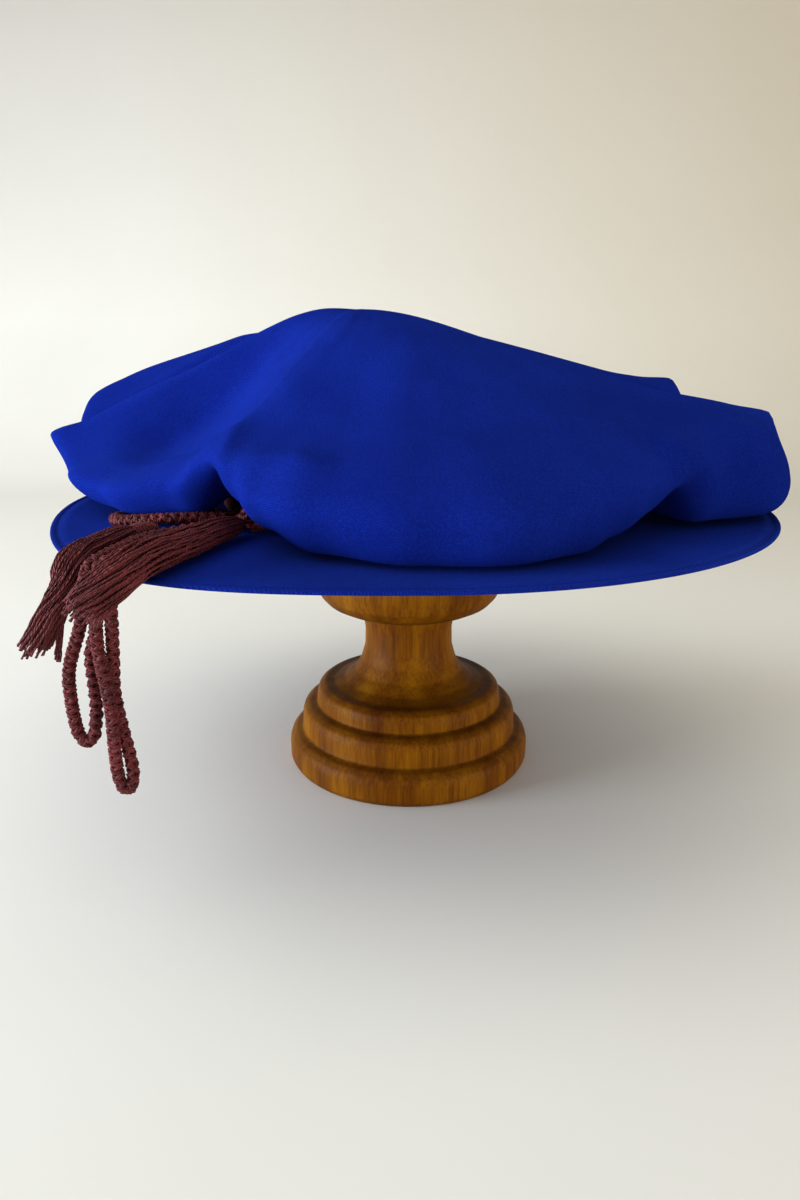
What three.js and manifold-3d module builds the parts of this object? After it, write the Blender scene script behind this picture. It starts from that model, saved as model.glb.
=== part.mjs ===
// Soft academic bonnet on a turned wooden hat stand. Millimetres, +Z up, the floor at z = 0
// and the stand's axis on z. -Y is the side that the front panel of the crown faces.
import * as THREE from "three";
import * as BufferGeometryUtils from "three/addons/utils/BufferGeometryUtils.js";
import Module from "manifold-3d";

const wasm = await Module();
wasm.setup();

// driving sizes
const BRIM_RADIUS = 180; // outer radius of the round brim
const BRIM_OPENING = 88; // radius of the head opening in the brim
const BRIM_THICKNESS = 1.6; // two cloth faces over a stiff card
const BRIM_CENTRE_X = 2; // the bonnet sits a little to one side of the stand
const BRIM_TOP = 146.6; // height of the brim's upper face above the floor
const BRIM_SAG = 5.4; // how far the brim's edge hangs under the tassels
const BRIM_SAG_AZIMUTH = 223; // where it hangs most
const BRIM_SAG_HALF_WIDTH = 50; // degrees either side that the sag reaches
const NECK_RADIUS = 91; // crown cloth where it is gathered onto the brim
const CROWN_WALL = 1.4; // cloth and interlining
const CROWN_TOP = 242.4; // highest point of the cloth
const GAP = 0.3; // clearance between neighbouring pieces
const CORD_RADIUS = 2.3; // braided cord
const HEAD_RADIUS = 50.4; // turned head block of the stand
const HEAD_TOP = 235.3; // top of the head block, under the cloth

const rad = THREE.MathUtils.degToRad;
const clamp01 = (t) => Math.min(1, Math.max(0, t));

// materials
const BLUE = new THREE.MeshStandardMaterial({ color: 0x1026a8, roughness: 0.9, metalness: 0 });
const BLUE_BRIM = new THREE.MeshStandardMaterial({ color: 0x1029a0, roughness: 0.9, metalness: 0 });
const MAROON = new THREE.MeshStandardMaterial({ color: 0x4f1c22, roughness: 0.7, metalness: 0 });
const WOOD = new THREE.MeshStandardMaterial({ color: 0x8f5a1e, roughness: 0.45, metalness: 0 });

const bonnet = new THREE.Group();

function addPiece(name, geometry, material) {
  geometry.computeVertexNormals();
  const mesh = new THREE.Mesh(geometry, material);
  mesh.name = name;
  bonnet.add(mesh);
}

// A closed body from rings of points: each ring has the same count, the ends close on a point each.
function closedFromRings(rings, firstPoint, lastPoint) {
  const n = rings[0].length;
  const position = [];
  const index = [];
  for (const ring of rings) for (const p of ring) position.push(p.x, p.y, p.z);
  const first = rings.length * n;
  position.push(firstPoint.x, firstPoint.y, firstPoint.z, lastPoint.x, lastPoint.y, lastPoint.z);
  for (let j = 0; j < n; j++) {
    const k = (j + 1) % n;
    index.push(first, j, k);
    for (let i = 0; i + 1 < rings.length; i++) {
      const a = i * n + j, b = i * n + k, c = a + n, d = b + n;
      index.push(a, c, d, a, d, b);
    }
    const e = (rings.length - 1) * n;
    index.push(first + 1, e + k, e + j);
  }
  const geometry = new THREE.BufferGeometry();
  geometry.setAttribute("position", new THREE.Float32BufferAttribute(position, 3));
  geometry.setIndex(index);
  return outward(geometry);
}

// Turns the faces round where they point in, told by the sign of the enclosed volume.
function outward(geometry) {
  const p = geometry.attributes.position;
  const idx = geometry.index.array;
  const a = new THREE.Vector3(), b = new THREE.Vector3(), c = new THREE.Vector3();
  let volume = 0;
  for (let i = 0; i < idx.length; i += 3) {
    a.fromBufferAttribute(p, idx[i]);
    b.fromBufferAttribute(p, idx[i + 1]);
    c.fromBufferAttribute(p, idx[i + 2]);
    volume += a.dot(b.cross(c));
  }
  if (volume > 0) return geometry;
  for (let i = 0; i < idx.length; i += 3) [idx[i], idx[i + 1]] = [idx[i + 1], idx[i]];
  return geometry;
}

// the stand: one turned piece, radius and height of its outline from the floor up
const STAND_SEGMENTS = 40;
const standOutline = [
  // radius, height
  [0, 0], [65.8, 0], [67.6, 3], [67.6, 11.4], [66.5, 15], [64, 17.5], [60, 18.6], // lowest tier
  [60, 27.4], [58.8, 31], [56, 33], [51.6, 33.6], // middle tier
  [51.6, 38.4], [50.4, 42.2], [47.2, 44.4], // upper tier
  [42, 44.4], [36, 46.6], [30, 51.6], [26.4, 58], // cove
  [24.2, 66], [24, 76], [25.4, 84.6], // neck
  [37.4, 88], [44.4, 91.4], [48.6, 96], [HEAD_RADIUS, 103], // underside of the head
  [HEAD_RADIUS, 193], [47, 208.8], [39.4, 219.3], [28, 227.3], [14, 232.7], [0, HEAD_TOP], // domed head
];
const stand = new THREE.LatheGeometry(
  standOutline.map(([r, z]) => new THREE.Vector2(r, z)), STAND_SEGMENTS);
stand.rotateX(Math.PI / 2);
addPiece("stand", stand, WOOD);

// the brim: a flat stiff ring that hangs a little under the tassels
function sagShare(azimuth) {
  const turn = THREE.MathUtils.euclideanModulo(azimuth - BRIM_SAG_AZIMUTH + 180, 360);
  const away = Math.abs(turn - 180);
  return Math.cos(rad(90 * Math.min(1, away / BRIM_SAG_HALF_WIDTH))) ** 2;
}
function brimTop(x, y) {
  const r = Math.hypot(x, y);
  const azimuth = THREE.MathUtils.radToDeg(Math.atan2(y, x));
  return BRIM_TOP - BRIM_SAG * sagShare(azimuth) * clamp01((r - 95) / 85) ** 1.3;
}
const BRIM_SEGMENTS = 72;
const half = BRIM_THICKNESS / 2;
const brimSection = [
  // radius, height above the middle of the sheet
  [BRIM_OPENING, half], [97, half], [130, half], [158, half], [BRIM_RADIUS - 1, half],
  [BRIM_RADIUS, half * 0.3], [BRIM_RADIUS, -half * 0.3],
  [BRIM_RADIUS - 1, -half], [158, -half], [130, -half], [97, -half], [BRIM_OPENING, -half],
];
{
  const n = brimSection.length;
  const position = [];
  const index = [];
  for (let j = 0; j < BRIM_SEGMENTS; j++) {
    const a = (2 * Math.PI * j) / BRIM_SEGMENTS;
    brimSection.forEach(([r, h], i) => {
      // the opening stays centred on the stand, the edge is set over by BRIM_CENTRE_X
      const shift = BRIM_CENTRE_X * clamp01((r - BRIM_OPENING) / (BRIM_RADIUS - BRIM_OPENING));
      const x = shift + r * Math.cos(a), y = r * Math.sin(a);
      position.push(x, y, brimTop(x, y) - half + h);
      const k = (i + 1) % n, m = ((j + 1) % BRIM_SEGMENTS) * n;
      index.push(j * n + i, j * n + k, m + k, j * n + i, m + k, m + i);
    });
  }
  const brim = new THREE.BufferGeometry();
  brim.setAttribute("position", new THREE.Float32BufferAttribute(position, 3));
  brim.setIndex(index);
  addPiece("brim", outward(brim), BLUE_BRIM);
}

// the crown: a big soft disc of cloth, gathered at the neck, that falls in radial folds
// One row for each fold line, round the crown from +X towards +Y (the back). topAz and edgeAz are the
// fold's azimuth near the top and at the edge. sharp is 0 for a round fold and 1 for a crisp one.
// Pairs of radius and height: shoulder over the head block, middle of the slope, corner where the
// cloth turns down, widest point of the side, lowest point, and the height under the fold.
const FOLDS = [
  //  topAz edgeAz sharp  shoulderZ  midR midZ  cornerR cornerZ  wideR wideZ  lowR lowZ  underZ
  [0, 4, 0, 228, 118, 198, 160, 183, 174, 166, 166, 152, 160],
  [12, 20, 1, 229, 118, 212.5, 164, 203.5, 175, 184, 166, 152, 160],
  [45, 43, 0, 231, 110, 206, 156, 185, 169, 168, 160, 150, 158],
  [70, 68, 0.6, 233, 110, 212, 160, 192, 172, 171, 162, 149, 157],
  [95, 94, 0, 235, 108, 205, 152, 183, 165, 166, 156, 149, 157],
  [118, 118, 0.6, 237, 110, 213, 160, 194, 173, 173, 162, 149, 157],
  [134, 138, 0, 239, 108, 209, 154, 188, 168, 170, 158, 151, 158],
  [146, 161, 0.8, 240, 111, 227, 168, 206, 194, 189, 176, 160, 161],
  [166, 172, 0, 241, 108, 208, 160, 188, 185, 168, 172, 155, 160],
  [182, 180, 1, 241, 108, 210.5, 165, 187.5, 183, 179.5, 166, 158, 159],
  [202, 192, 0, 237, 104, 188, 148, 175, 163, 167, 151, 153.4, 158],
  [214, 207, 0, 235, 98, 184, 128, 174, 141, 163, 136, 151.8, 158],
  [226, 232, 0.9, 236, 97, 195, 118, 182, 124, 175, 114, 168, 164],
  [240, 245, 0, 234, 98, 194, 128, 176, 136, 166, 128, 157, 160],
  [254, 258, 0, 233, 100, 195, 140, 172, 151, 159, 143, 148.6, 157],
  [272, 273, 0, 232, 103, 198, 144, 173, 157, 159, 150, 147.4, 156],
  [296, 297, 0, 230, 107, 198, 147, 174, 159, 161, 150, 148.2, 156],
  [318, 320, 0.7, 228, 112, 199, 144, 178, 149, 169, 139, 160, 160],
  [328, 331, 0, 228, 118, 197, 162, 180, 175, 164, 168, 149.4, 157],
  [342, 345, 0, 228, 122, 200, 177, 186, 190, 163, 184, 149.8, 157],
  [350, 354, 1, 228, 122, 202.5, 183, 188.5, 192.4, 163, 187, 150, 157],
];
const APEX = new THREE.Vector3(-22, 0, CROWN_TOP);
const CROWN_LEAN = -5; // how far the loose cloth lies over to -X of its neck
const SHOULDER_RADIUS = 45;
const UNDER_RADIUS = 106;
const NECK_RISE = 7; // height of the gathered neck above the brim
const COLUMNS_PER_TURN = 64;

// Height and radius change from one fold to the next along a curve that is flat at a round fold.
function foldBlend(t, sharpA, sharpB) {
  const t2 = t * t, t3 = t2 * t;
  return (t3 - 2 * t2 + t) * sharpA + (3 * t2 - 2 * t3) + (t3 - t2) * sharpB;
}

function crownProfile(row) {
  const [topAz, edgeAz, , shoulderZ, midR, midZ, cornerR, cornerZ, wideR, wideZ, lowR, lowZ, underZ] = row;
  const at = (azimuth, r, z) => new THREE.Vector3(r * Math.cos(rad(azimuth)), r * Math.sin(rad(azimuth)), z);
  const between = (share) => topAz + (edgeAz - topAz) * share;
  const loose = [
    at(topAz, SHOULDER_RADIUS, shoulderZ), at(between(0.55), midR, midZ), at(between(0.9), cornerR, cornerZ),
    at(edgeAz, wideR, wideZ), at(edgeAz, lowR, lowZ),
  ];
  for (const point of loose) point.x += CROWN_LEAN;
  return [
    APEX, ...loose, at(edgeAz, UNDER_RADIUS, underZ),
    at(edgeAz, NECK_RADIUS + 0.6, BRIM_TOP + NECK_RISE), at(edgeAz, NECK_RADIUS, BRIM_TOP + GAP),
  ];
}

function crownColumns() {
  const columns = [];
  FOLDS.forEach((rowA, i) => {
    const next = FOLDS[(i + 1) % FOLDS.length];
    const turn = i + 1 < FOLDS.length ? 0 : 360;
    const rowB = next.map((v, c) => (c < 2 ? v + turn : v));
    const steps = Math.max(2, Math.round(((rowB[1] - rowA[1]) / 360) * COLUMNS_PER_TURN));
    for (let s = 0; s < steps; s++) {
      const t = s / steps;
      const shape = foldBlend(t, rowA[2], rowB[2]);
      const row = rowA.map((v, c) => v + (rowB[c] - v) * (c < 2 ? t : shape));
      columns.push(crownProfile(row));
    }
  });
  return columns;
}

// Share of the rows that each stretch of the profile gets, from the top to the neck.
const STRETCH_ROWS = [3, 3, 2, 2, 2, 2, 1, 1];
{
  const columns = crownColumns();
  const rings = []; // outer surface, ring by ring from the top down
  const curves = columns.map((points) => new THREE.CatmullRomCurve3(points, false, "centripetal"));
  STRETCH_ROWS.forEach((count, stretch) => {
    for (let s = 1; s <= count; s++) {
      const t = (stretch + s / count) / STRETCH_ROWS.length;
      rings.push(curves.map((curve) => curve.getPoint(t)));
    }
  });
  // the inner surface lies one wall inside the outer one, along the normals of the outer one
  const n = columns.length;
  const normals = rings.map((ring, i) => ring.map((p, j) => {
    const down = (i + 1 < rings.length ? rings[i + 1][j] : p).clone().sub(i > 0 ? rings[i - 1][j] : APEX);
    const round = ring[(j + 1) % n].clone().sub(ring[(j + n - 1) % n]);
    return down.cross(round).normalize();
  }));
  const inner = rings.map((ring, i) => ring.map((p, j) => {
    const q = p.clone().addScaledVector(normals[i][j], -CROWN_WALL);
    if (i === rings.length - 1) q.z = p.z;
    return q;
  }));
  const all = rings.concat(inner.reverse());
  const innerApex = APEX.clone().add(new THREE.Vector3(0, 0, -CROWN_WALL));
  addPiece("crown", closedFromRings(all, APEX, innerApex), BLUE);
}

// the cord: a plain tube for each stretch
function cordSection() {
  const section = new THREE.Shape();
  for (let k = 0; k < 8; k++) {
    const a = (2 * Math.PI * k) / 8;
    section[k ? "lineTo" : "moveTo"](CORD_RADIUS * Math.cos(a), CORD_RADIUS * Math.sin(a));
  }
  return section;
}
function cordAlong(points) {
  const curve = new THREE.CatmullRomCurve3(points.map((p) => new THREE.Vector3(...p)), false, "centripetal");
  const steps = Math.round(curve.getLength() / 9.4);
  return new THREE.ExtrudeGeometry(cordSection(), { steps, extrudePath: curve, bevelEnabled: false });
}
const BAND_Z = BRIM_TOP + GAP + CORD_RADIUS;
const band = new THREE.TorusGeometry(NECK_RADIUS + GAP + CORD_RADIUS + 0.4, CORD_RADIUS, 8, 38);
band.translate(0, 0, BAND_Z);
addPiece("cord_band", band, MAROON);

// centre lines, from the knot out and back
const CORD_PATHS = {
  cord_loop_left: [
    [-79.6, -82.4, 149.9], [-88, -87, 149.2], [-99, -92.6, 148.2], [-110, -101, 147.2],
    [-115.8, -116, 146], [-118.6, -129, 145.4],
    [-121, -136.8, 143.4], [-122.6, -139.6, 136], [-123.6, -143, 123.6], [-129.3, -145, 105],
    [-129.9, -145, 92], [-129, -145, 81], [-125.8, -145, 74.4], [-121.6, -145, 81.3],
    [-120.4, -145, 90.2], [-120.4, -145, 101.4], [-120.6, -144.4, 111], [-118, -143.6, 121],
    [-117.2, -142.4, 136], [-116, -139.2, 143.8], [-112.8, -130, 145.2], [-108, -121, 145.8],
  ],
  cord_loop_right: [
    [-97, -118, 146.6], [-103, -130, 145.8], [-110.2, -142.4, 145.2], [-113.4, -148.2, 137],
    [-114.6, -149.4, 118.3], [-115.9, -151.5, 96], [-115.2, -150.6, 76], [-113.6, -148.6, 60],
    [-110.9, -148, 53.6], [-107.6, -147.4, 59], [-107, -147, 66], [-108.9, -146.4, 79.8],
    [-111.4, -145.8, 96.5], [-110.6, -145.8, 112.7], [-108.4, -148.6, 127.3], [-107.8, -151.4, 137.4],
    [-106.6, -147.4, 144.8], [-102.4, -139.6, 145.8], [-98.8, -133.4, 145.9],
  ],
  cord_loop_short: [
    [-80.6, -66.4, 149.6], [-89, -59, 149.4], [-99, -54, 149.2], [-112, -51.4, 148.9],
    [-124, -51.6, 148.4], [-132.6, -55.4, 148.1], [-135, -62, 147.8], [-131, -69.4, 147.6],
    [-120, -73.6, 147.8], [-106, -76.4, 148.2], [-93, -75, 149.2], [-79.6, -74.4, 149.9],
  ],
};
for (const [name, points] of Object.entries(CORD_PATHS)) addPiece(name, cordAlong(points), MAROON);

// the knot and the two tassels: heads and locks fused into one body each
function solidOf(geometry) {
  const plain = geometry.clone();
  for (const name of ["normal", "uv"]) plain.deleteAttribute(name);
  const merged = BufferGeometryUtils.mergeVertices(plain, 1e-4);
  return new wasm.Manifold(new wasm.Mesh({
    numProp: 3,
    vertProperties: Float32Array.from(merged.attributes.position.array),
    triVerts: Uint32Array.from(merged.index.array),
  }));
}
function geometryOf(solid) {
  const mesh = solid.getMesh();
  const geometry = new THREE.BufferGeometry();
  geometry.setAttribute("position", new THREE.BufferAttribute(Float32Array.from(mesh.vertProperties), 3));
  geometry.setIndex(new THREE.BufferAttribute(Uint32Array.from(mesh.triVerts), 1));
  return geometry;
}
const fuse = (geometries) => geometryOf(geometries.map(solidOf).reduce((a, b) => a.add(b)));

// A strip with an oval section along a curve: side and up give its half width and half thickness.
function strip(points, side, up, steps = 9, sides = 8) {
  const curve = new THREE.CatmullRomCurve3(points, false, "centripetal");
  const rings = [];
  for (let i = 0; i <= steps; i++) {
    const t = i / steps;
    const centre = curve.getPoint(t);
    const along = curve.getTangent(t);
    const across = new THREE.Vector3().crossVectors(along, new THREE.Vector3(0, 0, 1)).normalize();
    const lift = new THREE.Vector3().crossVectors(across, along).normalize();
    rings.push(Array.from({ length: sides }, (_, k) => {
      const a = (2 * Math.PI * (k + 0.5)) / sides;
      const point = centre.clone().addScaledVector(across, side(t) * Math.cos(a));
      return point.addScaledVector(lift, up(t) * Math.sin(a));
    }));
  }
  return closedFromRings(rings, curve.getPoint(0), curve.getPoint(1));
}

const TASSELS = {
  // way: centre of the skirt from the head to the cut ends. width and depth: half sizes at neck and end.
  tassel_front: {
    head: [-71.4, -91.6, 151], neck: [-81, -107, 151], headRadius: 5.6,
    way: [[-78.4, -104.4, 151.2], [-82, -115.5, 151.2], [-86.6, -128.5, 151], [-91.6, -141, 150.8],
      [-97, -152.4, 149.4], [-102.6, -160.6, 145.4], [-108.4, -164.4, 140], [-114.2, -165, 134.2]],
    width: [5.6, 8.4], depth: [4.6, 7.2], locks: 4,
  },
  tassel_rear: {
    head: [-110, -85.6, 149.8], neck: [-119.6, -99.8, 149], headRadius: 5,
    way: [[-117.8, -97, 149.2], [-121.6, -106.2, 148.4], [-124.4, -115.2, 147.6], [-127, -124, 146.8],
      [-130, -131.6, 142.8], [-132.6, -135.4, 132.6], [-137, -135.6, 120.6], [-145, -134.4, 108.6]],
    width: [4.8, 7.2], depth: [3.4, 5.6], locks: 4,
  },
};
for (const [name, tassel] of Object.entries(TASSELS)) {
  const head = new THREE.Vector3(...tassel.head);
  const neck = new THREE.Vector3(...tassel.neck);
  const way = tassel.way.map((p) => new THREE.Vector3(...p));
  const R = tassel.headRadius;
  const span = neck.clone().sub(head);
  const bulb = strip(
    [head, head.clone().addScaledVector(span, 0.5), neck],
    (t) => R * (0.35 + 0.65 * Math.sin(Math.PI * (0.12 + 0.76 * t))),
    (t) => R * (0.35 + 0.65 * Math.sin(Math.PI * (0.12 + 0.76 * t))), 6, 10);
  const pieces = [bulb];
  for (let k = 0; k < tassel.locks; k++) {
    const share = (k / (tassel.locks - 1)) * 2 - 1; // -1 at one side of the skirt, 1 at the other
    const lockWay = way.map((p, i) => {
      const t = i / (way.length - 1);
      const along = way[Math.min(i + 1, way.length - 1)].clone().sub(way[Math.max(i - 1, 0)]);
      const across = new THREE.Vector3().crossVectors(along, new THREE.Vector3(0, 0, 1)).normalize();
      const halfWidth = THREE.MathUtils.lerp(tassel.width[0], tassel.width[1], t ** 0.7);
      return p.clone().addScaledVector(across, share * halfWidth * 0.68);
    });
    const last = lockWay[lockWay.length - 1];
    last.addScaledVector(last.clone().sub(lockWay[lockWay.length - 2]).normalize(), (k % 2 ? -1 : 1) * 1.2);
    pieces.push(strip(lockWay,
      (t) => THREE.MathUtils.lerp(tassel.width[0], tassel.width[1], t ** 0.7) * 0.36,
      (t) => THREE.MathUtils.lerp(tassel.depth[0], tassel.depth[1], t) * (1 - 0.12 * share * share), 6, 8));
  }
  addPiece(name, fuse(pieces), MAROON);
}

const KNOT = new THREE.Vector3(-66.4, -81.4, 151.6);
const knotTurns = [
  // offset of the centre and half sizes of each turn of the knot
  [0, 0, 0, 6.2, 6.2, 5.2], [-5.4, 2.8, -0.8, 5, 4.6, 4.2], [5, -2.4, -0.8, 4.8, 4.4, 4.2],
];
const knotPieces = knotTurns.map(([x, y, z, a, b, c]) => {
  const turn = new THREE.SphereGeometry(1, 10, 7);
  turn.scale(a, b, c);
  turn.rotateZ(rad(-38));
  turn.translate(KNOT.x + x, KNOT.y + y, KNOT.z + z);
  return turn;
});
addPiece("cord_knot", fuse(knotPieces), MAROON);

export default bonnet;
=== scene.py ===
"""Soft royal blue bonnet with maroon cords and tassels on a turned wooden stand.

Lengths are in millimetres until add_mesh turns them into metres. +X is to the right in the picture,
-Y points to the camera, and the table is at z = 0.
"""

import math

import bpy
import numpy as np
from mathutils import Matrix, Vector


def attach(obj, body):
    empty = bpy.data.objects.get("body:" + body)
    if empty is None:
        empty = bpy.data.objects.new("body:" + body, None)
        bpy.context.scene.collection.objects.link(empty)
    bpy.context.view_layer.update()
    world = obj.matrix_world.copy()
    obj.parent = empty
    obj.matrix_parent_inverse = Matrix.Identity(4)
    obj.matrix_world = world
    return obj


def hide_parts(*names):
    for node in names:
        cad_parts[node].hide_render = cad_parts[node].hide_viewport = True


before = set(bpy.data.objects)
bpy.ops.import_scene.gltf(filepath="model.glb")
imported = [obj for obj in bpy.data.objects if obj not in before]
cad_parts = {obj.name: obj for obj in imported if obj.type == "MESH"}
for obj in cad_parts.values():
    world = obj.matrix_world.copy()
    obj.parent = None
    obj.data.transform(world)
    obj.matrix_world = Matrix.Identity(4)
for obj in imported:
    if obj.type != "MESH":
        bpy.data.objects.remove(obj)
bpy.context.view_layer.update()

rng = np.random.default_rng(7)
MM = 0.001
TAU = 2 * math.pi

# sizes shared with the frame
BRIM_RADIUS = 180.0  # outer radius of the round brim
BRIM_OPENING = 88.0  # radius of the head opening in the brim
BRIM_THICKNESS = 1.6
BRIM_CENTRE_X = 2.0  # the brim's edge is set over a little from its opening
BRIM_TOP = 146.6  # height of the brim's upper face
BRIM_SAG = 5.4  # how far the brim's edge hangs under the tassels
BRIM_SAG_AZIMUTH, BRIM_SAG_HALF_WIDTH = 223.0, 50.0  # degrees
BRIM_SAG_START, BRIM_SAG_REACH = 95.0, 85.0  # radius where the sag starts, and its way to the edge
BRIM_SAG_POWER = 1.3
NECK_RADIUS = 91.0  # crown cloth where it is gathered onto the brim
NECK_RISE = 7.0  # height of the gathered neck above the brim
CROWN_WALL = 1.4
CROWN_TOP = 242.4
HEAD_TOP = 235.3  # top of the stand's head block, under the cloth
GAP = 0.3  # clearance between neighbouring pieces

# the picture's camera, which also tells where a point falls in the picture
EYE = np.array([0.9, -437.9, 220.2])
TILT, ROLL = 0.288, 0.013  # radians
LENS, SENSOR = 24.75, 36.0
PICTURE_WIDTH, PICTURE_HEIGHT = 800, 1200
FOCAL = LENS / SENSOR * PICTURE_HEIGHT


def make_camera():
    data = bpy.data.cameras.new("camera")
    data.lens = LENS
    data.sensor_width = SENSOR
    data.clip_start, data.clip_end = 0.01, 20
    camera = bpy.data.objects.new("camera", data)
    camera.location = EYE * MM
    camera.rotation_euler = (math.pi / 2 - TILT, 0, ROLL)
    bpy.context.scene.collection.objects.link(camera)
    bpy.context.scene.camera = camera


def seen_at(points):
    """Where points fall in the picture, in pixels from its upper left corner."""
    q = points - EYE
    x = q[..., 0] * math.cos(ROLL) + q[..., 1] * math.sin(ROLL)
    y = q[..., 1] * math.cos(ROLL) - q[..., 0] * math.sin(ROLL)
    depth = y * math.cos(TILT) - q[..., 2] * math.sin(TILT)
    rise = y * math.sin(TILT) + q[..., 2] * math.cos(TILT)
    return np.stack([PICTURE_WIDTH / 2 + FOCAL * x / depth,
                     PICTURE_HEIGHT / 2 - FOCAL * rise / depth], -1)


make_camera()

# curves
SHORTEST = 1e-6  # keeps a stretch of a curve with no length from dividing by zero
SAMPLES_PER_STRETCH = 24


def unit(vectors):
    return vectors / np.linalg.norm(vectors, axis=-1, keepdims=True)


def arc_lengths(line):
    """Distance along a line at each of its points."""
    return np.concatenate([[0], np.cumsum(np.linalg.norm(np.diff(line, axis=0), axis=1))])


def hermite(start, end, leave, arrive, t):
    """The cubic from start to end with these slopes at its ends, at share t of the way."""
    return ((2 * t ** 3 - 3 * t ** 2 + 1) * start + (t ** 3 - 2 * t ** 2 + t) * leave
            + (3 * t ** 2 - 2 * t ** 3) * end + (t ** 3 - t ** 2) * arrive)


def stretch(a, b, c, d, t):
    """The stretch from b to c of a centripetal Catmull-Rom curve through four points."""
    k1, k2, k3 = (np.maximum(np.linalg.norm(v, axis=-1, keepdims=True), SHORTEST) ** 0.5
                  for v in (b - a, c - b, d - c))
    leave = ((b - a) / k1 - (c - a) / (k1 + k2) + (c - b) / k2) * k2
    arrive = ((c - b) / k2 - (d - b) / (k2 + k3) + (d - c) / k3) * k2
    return hermite(b, c, leave, arrive, t)


def evenly(line, count=None, step=None):
    """The same line as count points, or as points that lie about a step apart."""
    along = arc_lengths(line)
    count = count or max(2, int(round(along[-1] / step)) + 1)
    s = np.linspace(0, along[-1], count)
    return np.stack([np.interp(s, along, line[:, k]) for k in range(3)], 1)


def catmull(points, count=None, step=None):
    """Even samples of a smooth curve through points."""
    p = np.asarray(points, float)
    p = np.vstack([2 * p[0] - p[1], p, 2 * p[-1] - p[-2]])
    t = np.linspace(0, 1, SAMPLES_PER_STRETCH, endpoint=False)[:, None]
    dense = [stretch(*p[i - 1:i + 3], t) for i in range(1, len(p) - 2)]
    return evenly(np.vstack([*dense, p[-2][None]]), count, step)


def frames(line, closed=False):
    """Tangent and two turning-free normals at each point of a line."""
    ahead = np.roll(line, -1, 0) - np.roll(line, 1, 0) if closed else np.gradient(line, axis=0)
    tangent = unit(ahead)
    first = np.cross(tangent[0], (0, 0, 1.0))
    if np.linalg.norm(first) < 0.1:
        first = np.cross(tangent[0], (0, 1.0, 0))
    side = np.empty_like(line)
    side[0] = unit(first)
    for i in range(1, len(line)):
        side[i] = unit(side[i - 1] - tangent[i] * (side[i - 1] @ tangent[i]))
    return tangent, side, np.cross(tangent, side)


# meshes
def grid_faces(rows, columns, rows_close=False, turned=False):
    """Quads of a grid whose columns close round, and whose rows may close too."""
    i, j = np.meshgrid(np.arange(rows if rows_close else rows - 1), np.arange(columns), indexing="ij")
    below, beside = (i + 1) % rows, (j + 1) % columns
    corners = [i * columns + j, i * columns + beside, below * columns + beside, below * columns + j]
    if turned:
        corners = [corners[k] for k in (0, 3, 2, 1)]
    return np.stack(corners, -1).reshape(-1, 4).tolist()


def tube(line, radius, sides=6, caps=True):
    """Vertices, faces and uv (turns round, metres along) of a round tube on a line."""
    _, side, up = frames(line)
    n = len(line)
    r = np.broadcast_to(np.asarray(radius, float), (n,))
    a = np.arange(sides) * TAU / sides
    ring = side[:, None] * np.cos(a)[None, :, None] + up[:, None] * np.sin(a)[None, :, None]
    verts = (line[:, None] + ring * r[:, None, None]).reshape(-1, 3)
    faces = grid_faces(n, sides)
    uv = np.stack([np.broadcast_to(np.arange(sides) / sides, (n, sides)),
                   np.broadcast_to(arc_lengths(line)[:, None] * MM, (n, sides))], -1).reshape(-1, 2)
    if caps:
        faces.append(list(range(sides))[::-1])
        faces.append([(n - 1) * sides + q for q in range(sides)])
    return verts, faces, uv


def joined(parts):
    verts, faces, uvs, base = [], [], [], 0
    for v, f, uv in parts:
        verts.append(v)
        uvs.append(uv)
        faces.extend([[q + base for q in face] for face in f])
        base += len(v)
    return np.vstack(verts), faces, np.vstack(uvs)


def add_mesh(name, verts, faces, uv=None):
    """A smooth mesh object from millimetre vertices, with uv by vertex."""
    mesh = bpy.data.meshes.new(name)
    mesh.from_pydata((np.asarray(verts) * MM).tolist(), [], faces)
    if uv is not None:
        layer = mesh.uv_layers.new(name="UVMap")
        loops = np.empty(len(mesh.loops), np.int32)
        mesh.loops.foreach_get("vertex_index", loops)
        layer.data.foreach_set("uv", np.asarray(uv, np.float32)[loops].ravel())
    mesh.polygons.foreach_set("use_smooth", [True] * len(mesh.polygons))
    mesh.update()
    obj = bpy.data.objects.new(name, mesh)
    bpy.context.scene.collection.objects.link(obj)
    return obj


# materials
CLOTH_LIT, CLOTH_DARK = (0.0058, 0.0200, 0.272), (0.0025, 0.0084, 0.140)
CLOTH_SHEEN = (0.1, 0.25, 1.0, 1)
YARN_DARK, YARN_MIDDLE = (0.026, 0.0076, 0.0090), (0.124, 0.0212, 0.0255)
YARN_LIT, YARN_SHEEN = (0.272, 0.048, 0.055), (1.0, 0.3, 0.3, 1)
WOOD_DARK, WOOD_MIDDLE = (0.074, 0.0175, 0.0003), (0.152, 0.047, 0.0004)
WOOD_LIT, WOOD_PORE = (0.245, 0.091, 0.0010), (0.045, 0.014, 0.002)
WOOD_LEVEL_SHADE = (0.36, 0.33, 0.32)  # painted shade: what the colour is multiplied by on level faces
# dark blue thread, with painted shade: near black for the stitch groove's dark line
THREAD_DARK, THREAD_LIT = (0.0006, 0.0016, 0.012), (0.0012, 0.004, 0.035)
PAPER_DARK, PAPER_LIT = (0.82, 0.82, 0.80), (0.85, 0.85, 0.835)
# painted shade on the backdrop: the colour it turns towards the top, and the warm dim colour towards the
# right
PAPER_SHADE_ABOVE, PAPER_WARM_SHADE_ASIDE = (0.52, 0.50, 0.48), (0.57, 0.49, 0.36)


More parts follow.
